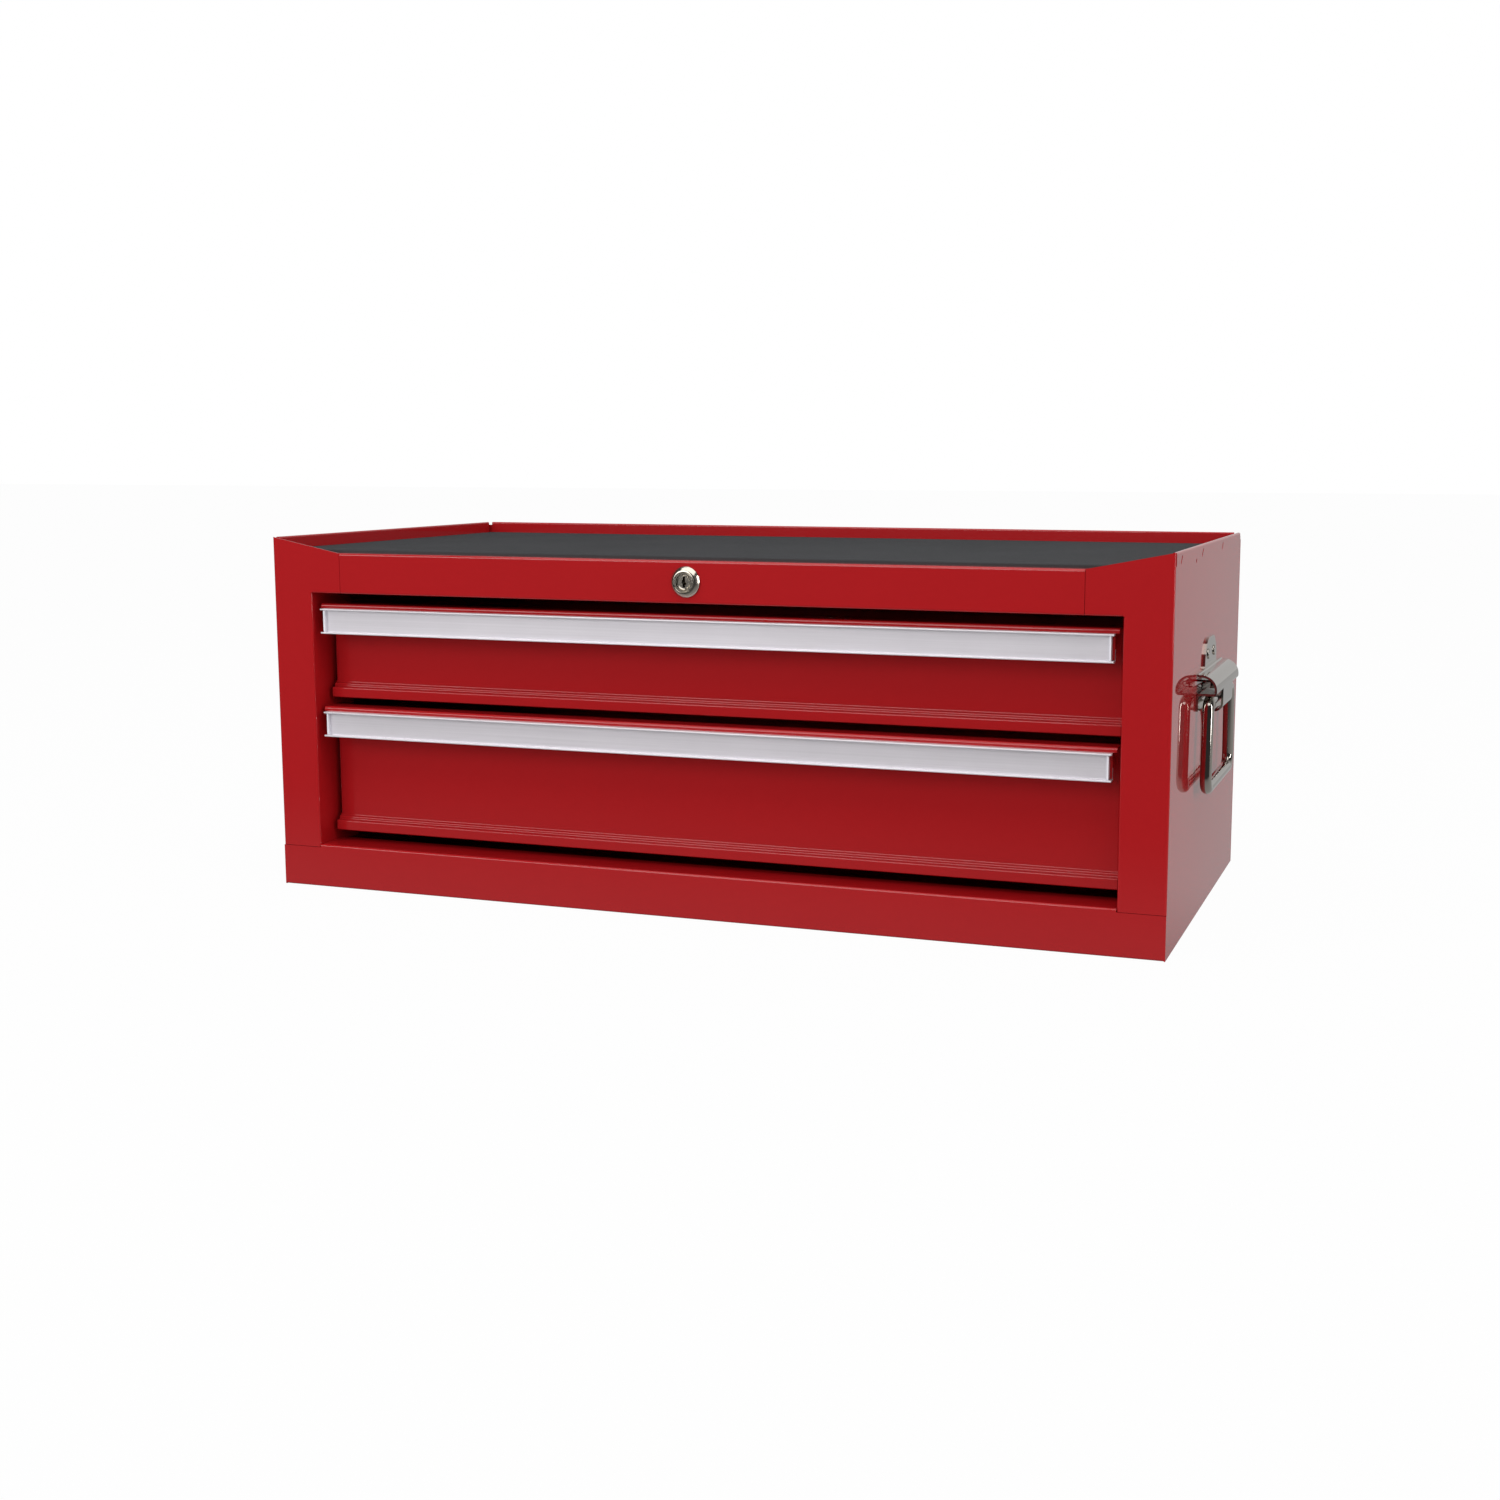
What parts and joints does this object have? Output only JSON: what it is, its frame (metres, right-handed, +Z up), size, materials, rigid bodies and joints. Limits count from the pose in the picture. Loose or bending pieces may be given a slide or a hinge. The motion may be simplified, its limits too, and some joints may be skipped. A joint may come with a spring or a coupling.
{
  "type": "two-drawer tool chest",
  "caption": "Low steel tool chest with full-width drawers on ball slides, a keyed lock, a matted tray top inside a raised rim, and a drop handle on each side.",
  "frame": {"origin": "on the floor, under the middle of the chest's whole outline", "axes": "+X to the right across the front, +Y from front to back, +Z up"},
  "size_m": [0.688, 0.324, 0.26],
  "materials": {
    "red_paint": "gloss powder coat",
    "zinc_steel": "bright zinc plate",
    "pull_aluminium": "satin anodised extrusion",
    "pull_cap": "smooth",
    "mat_rubber": "fine ribs",
    "liner_rubber": "matte",
    "handle_chrome": "polished",
    "lock_nickel": "nickel plate",
    "rivet_steel": "satin",
    "ball_steel": "polished"
  },
  "bodies": {
    "cabinet": {"back_panel": "red_paint", "back_rivets": "red_paint", "bar_studs": "zinc_steel", "bottom_pan": "red_paint", "left_handle_bracket": "handle_chrome", "left_handle_rivets": "handle_chrome", "left_lower_cabinet_rail": "zinc_steel", "left_rear_upright": "zinc_steel", "left_side_panel": "red_paint", "left_upper_cabinet_rail": "zinc_steel", "lock_housing": "lock_nickel", "lock_nut": "lock_nickel", "rail_rivets": "rivet_steel", "right_handle_bracket": "handle_chrome", "right_handle_rivets": "handle_chrome", "right_lower_cabinet_rail": "zinc_steel", "right_rear_upright": "zinc_steel", "right_side_panel": "red_paint", "right_upper_cabinet_rail": "zinc_steel", "rod_hangers": "zinc_steel", "top_deck": "red_paint", "top_mat": "mat_rubber"},
    "upper_drawer": {"left_upper_drawer_rail": "zinc_steel", "right_upper_drawer_rail": "zinc_steel", "upper_drawer_front": "red_paint", "upper_drawer_liner": "liner_rubber", "upper_drawer_pan": "red_paint", "upper_drawer_pull": "pull_aluminium", "upper_drawer_rivets": "rivet_steel", "upper_pull_caps": "pull_cap"},
    "upper_cages": {"upper_ball_cages": "zinc_steel", "upper_slide_balls": "ball_steel"},
    "lower_drawer": {"left_lower_drawer_rail": "zinc_steel", "lower_drawer_front": "red_paint", "lower_drawer_liner": "liner_rubber", "lower_drawer_pan": "red_paint", "lower_drawer_pull": "pull_aluminium", "lower_drawer_rivets": "rivet_steel", "lower_pull_caps": "pull_cap", "right_lower_drawer_rail": "zinc_steel"},
    "lower_cages": {"lower_ball_cages": "zinc_steel", "lower_slide_balls": "ball_steel"},
    "lock_core": {"lock_plug": "lock_nickel", "lock_washer": "lock_nickel", "lock_tail_rod": "zinc_steel", "lock_crank": "zinc_steel"},
    "lock_bar": {"lock_bar": "zinc_steel"},
    "right_bail": {"right_bail": "handle_chrome"},
    "left_bail": {"left_bail": "handle_chrome"}
  },
  "joints": [
    {"name": "upper_drawer_slide", "type": "slide", "parent": "cabinet", "child": "upper_drawer", "axis": [0, -1, 0], "range_m": [0, 0.19]},
    {"name": "upper_cage_slide", "type": "slide", "parent": "cabinet", "child": "upper_cages", "axis": [0, -1, 0], "range_m": [0, 0.095]},
    {"name": "lower_drawer_slide", "type": "slide", "parent": "cabinet", "child": "lower_drawer", "axis": [0, -1, 0], "range_m": [0, 0.19]},
    {"name": "lower_cage_slide", "type": "slide", "parent": "cabinet", "child": "lower_cages", "axis": [0, -1, 0], "range_m": [0, 0.095]},
    {"name": "lock_turn", "type": "hinge", "parent": "cabinet", "child": "lock_core", "pos_m": [0, 0, 0.2345], "axis": [0, 1, 0], "range_deg": [0, 90]},
    {"name": "lock_bar_slide", "type": "slide", "parent": "cabinet", "child": "lock_bar", "axis": [0, 0, -1], "range_m": [0, 0.01131]},
    {"name": "right_bail_hinge", "type": "hinge", "parent": "cabinet", "child": "right_bail", "pos_m": [0.338, 0.002, 0.154], "axis": [0, -1, 0], "range_deg": [-3.5, 90]},
    {"name": "left_bail_hinge", "type": "hinge", "parent": "cabinet", "child": "left_bail", "pos_m": [-0.338, 0.002, 0.154], "axis": [0, 1, 0], "range_deg": [-3.5, 90]}
  ],
  "couplings": [
    {"joint": "upper_cage_slide", "follows": "upper_drawer_slide", "ratio": 0.5},
    {"joint": "lower_cage_slide", "follows": "lower_drawer_slide", "ratio": 0.5},
    {"joint": "lock_turn", "follows": "lock_bar_slide", "rad_per_m": 138.84}
  ]
}
